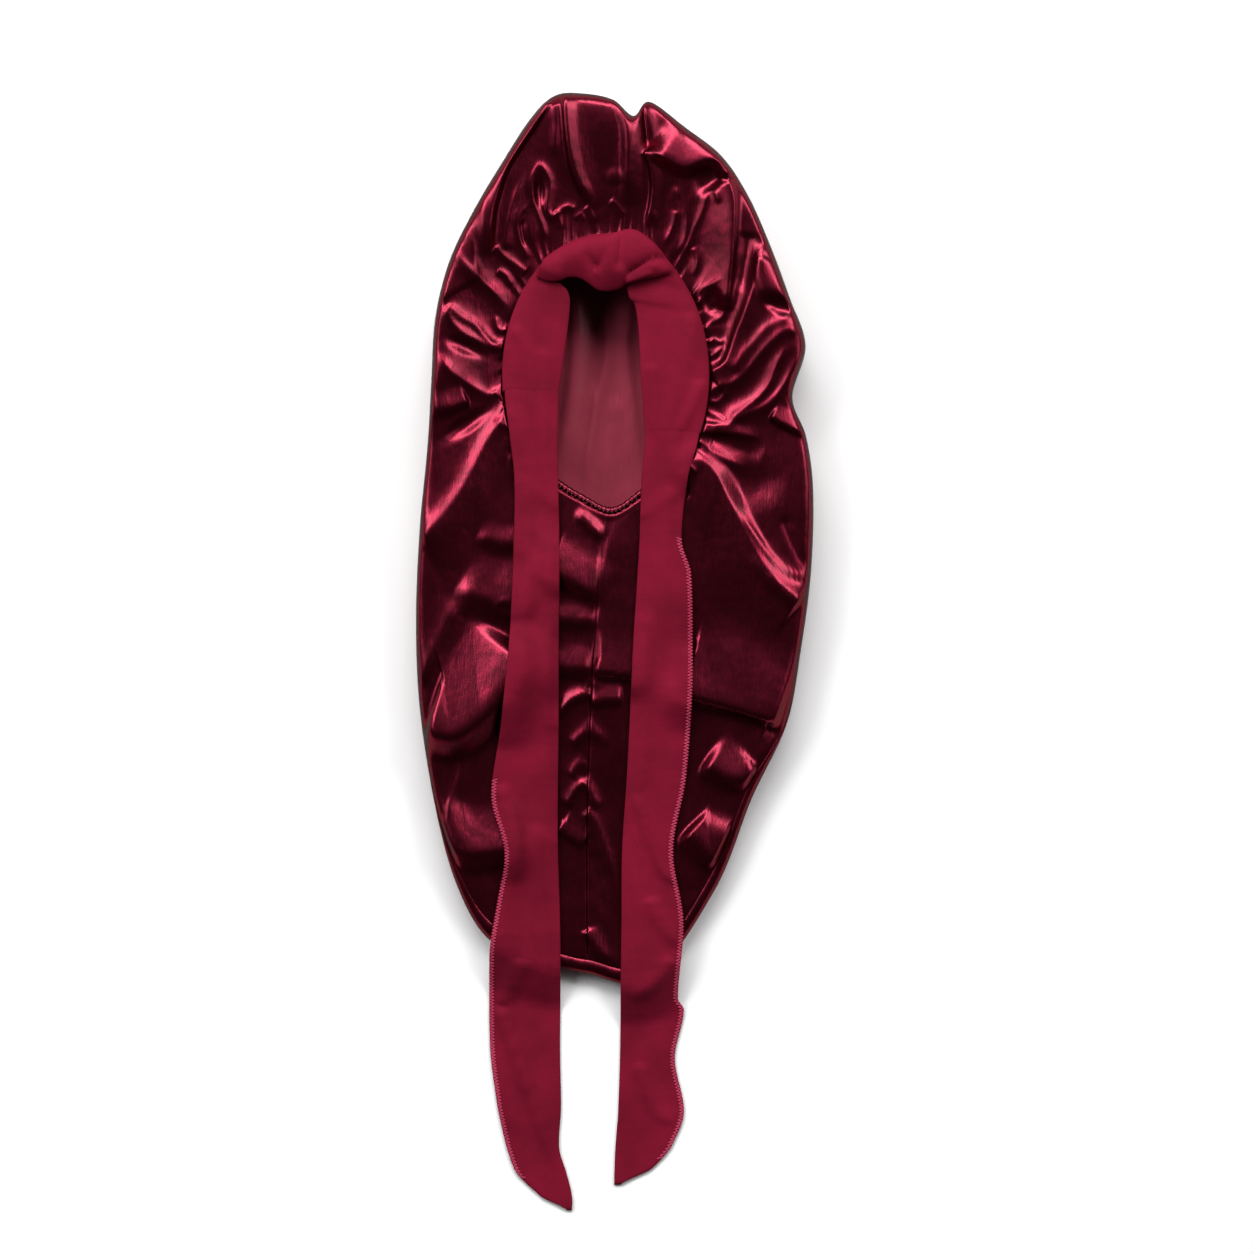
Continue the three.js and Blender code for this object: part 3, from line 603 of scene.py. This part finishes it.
def ruffle_wave(turn, from_rim):
    """The small gathers at the elastic: uneven in width and height, and fading as they leave it."""
    wobble = 1.9 * np.sin(turn * 2 * math.pi * 7 + 1) + 1.2 * np.sin(turn * 2 * math.pi * 19 + 2.3)
    drift = from_rim / (9 * MM) * np.sin(turn * 2 * math.pi * 11)
    phase = turn * 2 * math.pi * RUFFLES + wobble + drift
    uneven = 0.65 + 0.35 * np.sin(turn * 2 * math.pi * 23 + 0.7)
    place = np.mod(turn, 1)
    crown = smooth((0.24 - np.abs(place - 0.52)) / 0.1)
    height = (0.5 + 0.55 * crown) * MM * (1 - 0.8 * smooth((0.14 - np.minimum(place, 1 - place)) / 0.05))
    fade = np.exp(-from_rim / RUFFLE_LENGTH / (1 + 0.5 * crown)) * smooth(from_rim / (2 * MM))
    return phase, height * uneven * fade


def ruffle_height(turn, from_rim):
    phase, height = ruffle_wave(turn, from_rim)
    return height * np.sin(phase + 0.4 * np.sin(phase))


def ruffled(x, y, turn, from_rim):
    """The gathers also lean over sideways, along the opening's edge."""
    phase, height = ruffle_wave(turn, from_rim)
    angle = turn * 2 * math.pi
    lean = 0.8 * height * np.cos(phase + 0.6)
    return x - lean * np.cos(angle), y + lean * np.sin(angle)


def front_panel(name, node, start, end):
    piece = sheet_of_cloth(name, FRONT_COLUMNS, FRONT_ROWS, front_place_between(start, end))
    faces_up(piece)
    piece.data.materials.append(satin)
    piece.data.materials.append(wrong_side)
    thicken(piece, SATIN_THICKNESS, -1, 1)
    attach(piece, "root")
    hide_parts(node)
    return piece


front_left = front_panel("front_left_satin", "front_left_panel", 0, CROWN_SEAM)
front_right = front_panel("front_right_satin", "front_right_panel", CROWN_SEAM, 1)

# The opening's casing: a narrow turned hem of satin with the elastic drawn through it, so that it is finely
# gathered all round. It shows between the ties at the nape, where its zigzag stitching can be seen.

CASING_RADIUS = 2.2 * MM
CASING_COLUMNS = 720
CASING_SIDES = 14


def casing_place(turn, side):
    angle = side * 2 * math.pi
    gather = 0.5 + 0.5 * np.sin(turn * 2 * math.pi * 110 + 1.4 * np.sin(turn * 2 * math.pi * 13))
    radius = CASING_RADIUS * (0.86 + 0.18 * gather)
    inset = CASING_RADIUS + 0.3 * MM - radius * np.cos(angle) * 1.1
    x, y = opening_edge(turn, inset)
    return x, y, RIM_HEIGHT - 0.6 * MM + radius * np.sin(angle)


casing = sheet_of_cloth("casing_satin", CASING_COLUMNS, CASING_SIDES, casing_place, looped=True)
casing.data.materials.append(satin)
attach(casing, "root")
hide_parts("opening_casing")

NAPE_STITCHES = 26
NAPE_TURN = 0.085  # how far the stitching shows on either side of the nape, as a share of the way round


def nape_stitch_place(share, side):
    turn = NAPE_TURN * (2 * share - 1)
    inset = CASING_RADIUS + 0.3 * MM + 1.3 * MM * (2 * np.abs(2 * np.mod(share * NAPE_STITCHES, 1) - 1) - 1)
    x, y = opening_edge(turn, inset)
    angle = side * 2 * math.pi
    top = RIM_HEIGHT - 0.6 * MM + CASING_RADIUS * (1 - ((inset - CASING_RADIUS - 0.3 * MM) / (2.6 * MM)) ** 2)
    return x + 0.3 * MM * np.cos(angle), y, top + 0.3 * MM * np.sin(angle)


nape_stitches = sheet_of_cloth("nape_stitches", NAPE_STITCHES * 8, 5, nape_stitch_place, looped=True)
nape_stitches.data.materials.append(satin_finish("Wine thread", (0.16, 0.02, 0.035), (0.26, 0.04, 0.065), 0.45, 0.3))
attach(nape_stitches, "root")

# The face band: soft matte jersey, cut double and folded along its free edge. It is sewn to the casing and
# turned forward over the opening, where it flops down at the crown and folds back on itself at the right.

BAND_THICKNESS = 2.2 * MM
BAND_LAP = 1.2 * MM  # how far the band's sewn edge covers the casing and the satin's gathers
BAND_LEVEL = RIM_HEIGHT + 2.4 * MM
BAND_START = 0.231  # the ends of the band's sewn edge, as turns round the opening
BAND_END = 0.819
BAND_ALONG = 260
BAND_ACROSS = 44

# The band's folded edge from the left tie to the right one: where along the sewn edge, its place and height in
# millimetres, how far the band arches up between its edges, and how far that pushes it out past the opening.
BAND_ROWS = [
    dict(along=0, x=-36, y=171, lift=0, arch=0, push=0),
    dict(along=0.1, x=-32, y=196, lift=0, arch=1.5, push=0),
    dict(along=0.18, x=-29, y=220, lift=0, arch=2, push=0),
    dict(along=0.23, x=-28.5, y=233, lift=0, arch=3, push=0),
    dict(along=0.255, x=-32, y=240, lift=1, arch=4, push=0),
    dict(along=0.275, x=-41, y=242.5, lift=3, arch=6, push=0),
    dict(along=0.295, x=-50, y=246, lift=5, arch=7, push=0.5),
    dict(along=0.32, x=-43, y=243.5, lift=6, arch=9, push=1),
    dict(along=0.35, x=-36, y=243.5, lift=6, arch=10, push=1),
    dict(along=0.39, x=-28, y=246, lift=6, arch=11, push=1),
    dict(along=0.43, x=-20, y=244.5, lift=5, arch=12, push=1),
    dict(along=0.47, x=-9, y=237.5, lift=3.5, arch=13, push=3),
    dict(along=0.52, x=2, y=238, lift=3.5, arch=14, push=10),
    dict(along=0.57, x=9, y=241.5, lift=5, arch=13, push=8),
    dict(along=0.61, x=19, y=244, lift=6.5, arch=11, push=4),
    dict(along=0.645, x=28, y=246, lift=7, arch=8, push=1),
    dict(along=0.665, x=29, y=247, lift=5.5, arch=5, push=0),
    dict(along=0.69, x=19, y=248, lift=3.5, arch=4, push=0),
    dict(along=0.715, x=9, y=246, lift=2, arch=3, push=0),
    dict(along=0.74, x=10, y=234, lift=1.5, arch=3, push=0),
    dict(along=0.77, x=14, y=228, lift=0.5, arch=2, push=0),
    dict(along=0.84, x=16.5, y=210, lift=0, arch=2, push=0),
    dict(along=0.92, x=18, y=180, lift=0, arch=1.5, push=0),
    dict(along=1, x=20.8, y=144, lift=0, arch=0, push=0),
]

# Soft folds of the band and the ties, as in the back panel's table.
JERSEY_FOLDS = [
    dict(line=[(7, 287), (5, 270), (3, 250)], left=6, right=3, height=-3.4, crest=1.3, taper=(0.02, 0.2)),
    dict(line=[(-20, 266), (-15, 257), (-11, 251)], left=4, right=3, height=-2, crest=1.4, taper=(0.4, 0.05)),
    dict(line=[(-4, 266), (-7, 258), (-11, 251)], left=3, right=4, height=-2, crest=1.4, taper=(0.4, 0.05)),
    dict(line=[(-46, 262), (-34, 268), (-16, 272), (0, 276)], left=3, right=5, height=-2, crest=1.6),
    dict(line=[(-52, 258), (-42, 250), (-30, 248)], left=6, right=4, height=1.4, crest=1.6),
    dict(line=[(7, 247), (16, 252), (26, 257), (36, 256), (44, 248)], left=3, right=2, height=-3, crest=1.3),
    dict(line=[(8, 242), (18, 246), (27, 249)], left=2, right=2, height=2, crest=1.3),
    dict(line=[(10, 272), (20, 266), (32, 262)], left=4, right=4, height=1, crest=1.6),
    dict(line=[(-66, 215), (-56, 198), (-52, 170), (-52, 140)], left=4, right=5, height=1.9, crest=1.7),
    dict(line=[(-46, 200), (-44, 175), (-46, 140), (-44, 100)], left=4, right=4, height=1.6, crest=1.7),
    dict(line=[(52, 225), (48, 195), (36, 155), (30, 130)], left=6, right=4, height=2.2, crest=1.7),
    dict(line=[(58, 180), (50, 160), (40, 140), (36, 110)], left=4, right=4, height=2.2, crest=1.6),
    dict(line=[(24, 190), (27, 165), (26, 140)], left=4, right=3, height=1.7, crest=1.7),
    dict(line=[(-58, 120), (-56, 60), (-60, 0), (-64, -60)], left=5, right=4, height=1.7, crest=1.8),
    dict(line=[(-44, 90), (-42, 20), (-45, -60), (-44, -130)], left=4, right=5, height=1.7, crest=1.8),
    dict(line=[(-76, -85), (-67, -105), (-64, -130), (-66, -160)], left=4, right=4, height=3.2, crest=1.5),
    dict(line=[(-76, -232), (-66, -262), (-52, -300), (-38, -345)], left=4, right=3, height=3.8, crest=1.3),
    dict(line=[(-52, -110), (-48, -170), (-46, -240)], left=5, right=4, height=2.6, crest=1.6),
    dict(line=[(-60, -200), (-70, -225), (-76, -232)], left=4, right=4, height=2.9, crest=1.6),
    dict(line=[(36, 110), (33, 60), (30, 0)], left=5, right=5, height=1.6, crest=1.8),
    dict(line=[(22, 30), (20, -50), (16, -100)], left=4, right=5, height=1.7, crest=1.8),
    dict(line=[(14, -90), (26, -125), (34, -143), (44, -152)], left=5, right=3, height=2.9, crest=1.4),
    dict(line=[(24, -160), (32, -178), (43, -192)], left=4, right=3, height=2.6, crest=1.4),
    dict(line=[(40, -200), (28, -215), (10, -228)], left=4, right=4, height=2.3, crest=1.5),
    dict(line=[(16, -270), (28, -300), (40, -312)], left=4, right=4, height=2, crest=1.6),
]


def band_middle(along, across):
    """The band's middle surface, from its sewn edge at 0 to its folded edge at 1."""
    turn = BAND_START + (BAND_END - BAND_START) * along
    sewn_x, sewn_y = opening_edge(turn, -BAND_LAP)
    folded_x = listed(BAND_ROWS, "x", "along", along) * MM
    folded_y = listed(BAND_ROWS, "y", "along", along) * MM
    lift = listed(BAND_ROWS, "lift", "along", along) * MM
    arch = listed(BAND_ROWS, "arch", "along", along) * MM
    push = listed(BAND_ROWS, "push", "along", along) * MM
    x = sewn_x + (folded_x - sewn_x) * across
    y = sewn_y + (folded_y - sewn_y) * across
    out = np.sin(np.clip(across / 0.4, 0, 1) * math.pi)
    angle = turn * 2 * math.pi
    x = x - push * out * np.sin(angle)
    y = y - push * out * np.cos(angle)
    rise = arch * np.sin(across**0.6 * math.pi) + lift * across**1.5
    height = BAND_LEVEL + rise + BAND_THICKNESS / 2
    return x, y, height + folded(x, y, JERSEY_FOLDS)


def double_layer(middle, thickness, ends):
    """A flat tube round a middle surface, closed at its ends: a side's share goes over the top and back below."""

    def place(along, side):
        over = side < 0.5
        across = np.where(over, 2 * side, 2 - 2 * side)
        across = 0.5 - 0.5 * np.cos(across * math.pi)
        step = 1e-3
        here = np.stack(middle(along, across))
        ahead = np.stack(middle(np.minimum(along + step, 1), across))
        behind = np.stack(middle(np.maximum(along - step, 0), across))
        left = np.stack(middle(along, np.maximum(across - step, 0)))
        right = np.stack(middle(along, np.minimum(across + step, 1)))
        normal = np.cross((ahead - behind).T, (right - left).T).T
        normal = normal / np.maximum(np.linalg.norm(normal, axis=0), 1e-12)
        normal = normal * np.where(normal[2] < 0, -1, 1)
        closing = np.clip(np.minimum(along / ends[0], (1 - along) / ends[1]), 0, 1)
        half = thickness / 2 * (1 - np.abs(2 * across - 1) ** 6) ** 0.5 * np.sqrt(closing * (2 - closing))
        return here + normal * np.where(over, half, -half)

    return place


def jersey_finish(name, low, high):
    """Brushed jersey: matte, with a faint fuzz, fine ribs along the cloth and small cross wrinkles."""
    finish = Finish(name, Metallic=0.0, Specular_IOR_Level=0.08)
    blotches = finish.noise(24.0, 4.0, 0.6)
    ribs = finish.bands(170.0, 0.6)
    grain = finish.noise(1400.0, 2.0)
    wrinkles = finish.noise(30.0, 4.0, 0.6, finish.place((0.5, 2.6, 1)))
    finish.colour(1.6 * (blotches - 0.5) + 0.35 * grain + 0.35, low, high)
    finish.feed(finish.shader.inputs["Roughness"], 0.82 + 0.1 * (grain - 0.5))
    finish.bump(ribs * 0.05 + grain * 0.1 + wrinkles * 0.7, 0.9 * MM, 0.6)
    return finish.material


jersey = jersey_finish("Raspberry jersey", (0.095, 0.002, 0.0105), (0.2, 0.005, 0.0235))

band = sheet_of_cloth("band_jersey", BAND_ALONG, BAND_ACROSS, double_layer(band_middle, BAND_THICKNESS, (0.012, 0.012)), looped=True)
band.data.materials.append(jersey)
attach(band, "root")
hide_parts("face_band")

# The two ties: the band's jersey carried on in long straps, double, with an overlocked outer edge and a
# slanting end. They are laid down over the bag side by side and on to the surface past its tail.

TIE_THICKNESS = BAND_THICKNESS
TIE_OVERLAP = 7 * MM  # of a tie's start over the band's end
TIE_WIDTH = 40 * MM
TIE_CLEARANCE = 0.6 * MM
DRAPE_SLOPE = 0.55
DRAPE_REACH = 7 * MM
TIE_STEPS = 360
TIE_SIDES = 36

# A tie from its joint to its tip. at: share of its length. shift and width: its middle's place and its width, as
# shares of TIE_WIDTH.
LEFT_TIE = dict(
    left=-71 * MM, right=-36 * MM, start=171 * MM, length=540 * MM,
    rows=[
        dict(at=0, shift=0, width=0.875),
        dict(at=0.055, shift=0.04, width=0.78),
        dict(at=0.104, shift=0.08, width=0.72),
        dict(at=0.2, shift=0.08, width=0.76),
        dict(at=0.3, shift=0.04, width=0.81),
        dict(at=0.4, shift=-0.03, width=0.94),
        dict(at=0.49, shift=-0.12, width=1.09),
        dict(at=0.556, shift=-0.01, width=0.87),
        dict(at=0.617, shift=-0.06, width=1.02),
        dict(at=0.68, shift=-0.12, width=1.17),
        dict(at=0.8, shift=-0.13, width=1.16),
        dict(at=0.874, shift=-0.06, width=1.05),
        dict(at=0.923, shift=0, width=0.87),
        dict(at=0.955, shift=0.15, width=0.82),
        dict(at=0.984, shift=0.4, width=0.5),
        dict(at=1, shift=0.61, width=0.07),
    ],
)
RIGHT_TIE = dict(
    left=20.8 * MM, right=56 * MM, start=144 * MM, length=496 * MM,
    rows=[
        dict(at=0, shift=0, width=0.88),
        dict(at=0.055, shift=-0.12, width=0.76),
        dict(at=0.14, shift=-0.19, width=0.69),
        dict(at=0.18, shift=-0.13, width=0.87),
        dict(at=0.27, shift=-0.15, width=0.97),
        dict(at=0.35, shift=-0.18, width=1),
        dict(at=0.457, shift=-0.26, width=0.97),
        dict(at=0.55, shift=-0.4, width=0.84),
        dict(at=0.644, shift=-0.32, width=1.02),
        dict(at=0.75, shift=-0.37, width=0.95),
        dict(at=0.766, shift=-0.32, width=1.05),
        dict(at=0.83, shift=-0.4, width=0.91),
        dict(at=0.903, shift=-0.34, width=1.09),
        dict(at=0.95, shift=-0.47, width=0.92),
        dict(at=0.979, shift=-0.64, width=0.61),
        dict(at=1, shift=-0.9, width=0.1),
    ],
)


def surface_below(pieces):
    """What the ties lie on, to be looked down on from above."""
    bm = bmesh.new()
    for piece in pieces:
        bm.from_mesh(piece.data)
    tree = BVHTree.FromBMesh(bm)
    bm.free()
    return tree


def level_at(tree, x, y):
    """The height of what lies at a place, with the band's level across the opening."""
    hit = tree.ray_cast(Vector((x, y, 1)), Vector((0, 0, -1)))[0]
    across = (x - OPENING_X) / (OPENING_WIDTH / 2)
    along = (y - OPENING_Y) / (OPENING_LENGTH / 2)
    spanned = BAND_LEVEL if across**2 + along**2 < 1 else 0
    return max(hit.z + TIE_CLEARANCE if hit else 0, spanned)


def tie_plan(tie, share, across):
    """Where a tie's places lie in plan."""
    overlap = TIE_OVERLAP / tie["length"]
    along = share * (1 + overlap) - overlap
    middle = (tie["left"] + tie["right"]) / 2 + TIE_WIDTH * listed(tie["rows"], "shift", "at", along)
    width = TIE_WIDTH * listed(tie["rows"], "width", "at", along)
    return middle + width * (across - 0.5), tie["start"] - along * tie["length"]


def tie_middle(tie, tree):
    """A tie's middle surface: draped over what it lies on, and bridging the hollows between."""
    steps, ways = 220, 9
    along, across = np.meshgrid(np.linspace(0, 1, steps), np.linspace(0, 1, ways), indexing="ij")
    x, y = tie_plan(tie, along, across)
    level = np.array([level_at(tree, a, b) for a, b in zip(x.ravel(), y.ravel())])
    places = np.stack([x.ravel(), y.ravel()], axis=1)
    apart = np.linalg.norm(places[:, None] - places, axis=2)
    draped = np.max(level - DRAPE_SLOPE * np.maximum(0, apart - DRAPE_REACH), axis=1)
    draped = np.maximum(draped, 0.4 * MM).reshape(steps, ways)
    smoothed = draped
    for _ in range(3):
        padded = np.pad(smoothed, ((1, 1), (1, 1)), mode="edge")
        around = (padded[:-2, 1:-1] + padded[2:, 1:-1] + padded[1:-1, :-2] + padded[1:-1, 2:]) / 4
        smoothed = np.maximum(around, draped)

    def middle(along, across):
        x, y = tie_plan(tie, along, across)
        row, column = along * (steps - 1), across * (ways - 1)
        i = np.clip(np.floor(row).astype(int), 0, steps - 2)
        j = np.clip(np.floor(column).astype(int), 0, ways - 2)
        a, b = row - i, column - j
        low = smoothed[i, j] * (1 - a) * (1 - b) + smoothed[i + 1, j] * a * (1 - b)
        low = low + smoothed[i, j + 1] * (1 - a) * b + smoothed[i + 1, j + 1] * a * b
        return x, y, low + TIE_THICKNESS / 2 + np.maximum(folded(x, y, JERSEY_FOLDS), 0)

    return middle


def lay_tie(name, node, tie, tree):
    middle = tie_middle(tie, tree)
    piece = sheet_of_cloth(name, TIE_STEPS, TIE_SIDES, double_layer(middle, TIE_THICKNESS, (0.013, 0.003)), looped=True)
    piece.data.materials.append(jersey)
    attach(piece, "root")
    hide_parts(node)
    return middle


below = surface_below([back_panel, front_left, front_right, casing])
left_middle = lay_tie("left_tie_jersey", "left_tie", LEFT_TIE, below)
right_middle = lay_tie("right_tie_jersey", "right_tie", RIGHT_TIE, below)

# The overlock stitches: thread looped over the raw outer edge of each tie in a close zigzag. They show where the
# edge is turned up, and are caught down by their own tension.

STITCH = 2.1 * MM
STITCH_REACH = 3.6 * MM  # from the edge inwards
THREAD_RADIUS = 0.34 * MM


def overlocked(tie, middle, start, end, edge):
    """One thread in a zigzag over a tie's edge, which is its side 0 or 1."""
    stitches = int((end - start) * tie["length"] / STITCH)

    def place(share, side):
        along = start + (end - start) * share
        swing = np.abs(2 * np.mod(share * stitches, 1) - 1)
        width = tie_plan(tie, along, 1)[0] - tie_plan(tie, along, 0)[0]
        inset = (STITCH_REACH * swing - 0.25 * MM) / width
        across = edge + (1 - 2 * edge) * inset
        x, y, z = middle(along, np.clip(across, 0, 1))
        x = x + (1 - 2 * edge) * np.minimum(inset, 0) * width
        shape = np.clip(1 - np.abs(2 * np.clip(across, 0, 1) - 1) ** 6, 0, 1) ** 0.5
        angle = side * 2 * math.pi
        z = z + TIE_THICKNESS / 2 * shape + 0.1 * MM
        return x, y + THREAD_RADIUS * np.cos(angle), z + THREAD_RADIUS * np.sin(angle)

    return place, stitches


def stitch(name, node, tie, middle, start, end, edge):
    place, stitches = overlocked(tie, middle, start, end, edge)
    piece = sheet_of_cloth(name, stitches * 6, 5, place, looped=True)
    piece.data.materials.append(thread)
    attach(piece, "root")


thread = jersey_finish("Raspberry thread", (0.36, 0.025, 0.07), (0.55, 0.07, 0.14))
stitch("right_tie_stitches", "right_tie", RIGHT_TIE, right_middle, 0.148, 0.965, 1)
stitch("left_tie_stitches", "left_tie", LEFT_TIE, left_middle, 0.475, 0.96, 0)

# The plain pale surface that the bonnet lies on, soft studio light from the crown's side and above, and a
# camera that looks straight down.

PHOTO_WIDTH = 827.6 * MM  # of the surface that the camera takes in, at the height of the bag's edge
PHOTO_MIDDLE = (8.9 * MM, 18.2 * MM)
EDGE_LEVEL = 14 * MM
LENS = 100
SENSOR = 36


def plain_surface():
    bm = bmesh.new()
    bmesh.ops.create_grid(bm, x_segments=1, y_segments=1, size=4)
    mesh = bpy.data.meshes.new("surface")
    bm.to_mesh(mesh)
    bm.free()
    surface = bpy.data.objects.new("surface", mesh)
    bpy.context.scene.collection.objects.link(surface)
    finish = Finish("Pale surface", Roughness=0.9, Specular_IOR_Level=0.1)
    finish.colour(finish.noise(3.0), (0.86, 0.86, 0.86), (0.88, 0.88, 0.88))
    mesh.materials.append(finish.material)


def soft_light(name, place, aim, size, power):
    light = bpy.data.lights.new(name, "AREA")
    light.shape = "RECTANGLE"
    light.size, light.size_y = size
    light.energy = power
    lamp = bpy.data.objects.new(name, light)
    lamp.location = place
    lamp.rotation_euler = (Vector(aim) - Vector(place)).to_track_quat("-Z", "Y").to_euler()
    bpy.context.scene.collection.objects.link(lamp)


plain_surface()
soft_light("Light from the crown", (-0.2, 2.8, 2.4), (0, 0, 0), (2.6, 1.3), 135)
soft_light("Light from the left", (-2.3, 1.8, 2.5), (0, 0, 0), (1.7, 1.4), 85)
soft_light("Light from the right", (2.3, 1.8, 2.5), (0, 0, 0), (1.7, 1.4), 70)
soft_light("Fill from the left", (-2.9, 0.5, 2.2), (0, 0, 0), (1.1, 2.2), 16)
soft_light("Fill from the right", (2.9, 0.5, 2.2), (0, 0, 0), (1.1, 2.2), 14)

world = bpy.data.worlds.new("Studio")
world.use_nodes = True
world.node_tree.nodes["Background"].inputs["Color"].default_value = (1, 1, 1, 1)
world.node_tree.nodes["Background"].inputs["Strength"].default_value = 0.03
bpy.context.scene.world = world
bpy.context.scene.view_settings.view_transform = "Standard"

camera = bpy.data.cameras.new("Camera")
camera.lens = LENS
camera.sensor_width = SENSOR
camera.clip_end = 20
viewer = bpy.data.objects.new("Camera", camera)
viewer.location = (*PHOTO_MIDDLE, EDGE_LEVEL + PHOTO_WIDTH * LENS / SENSOR)
bpy.context.scene.collection.objects.link(viewer)
bpy.context.scene.camera = viewer
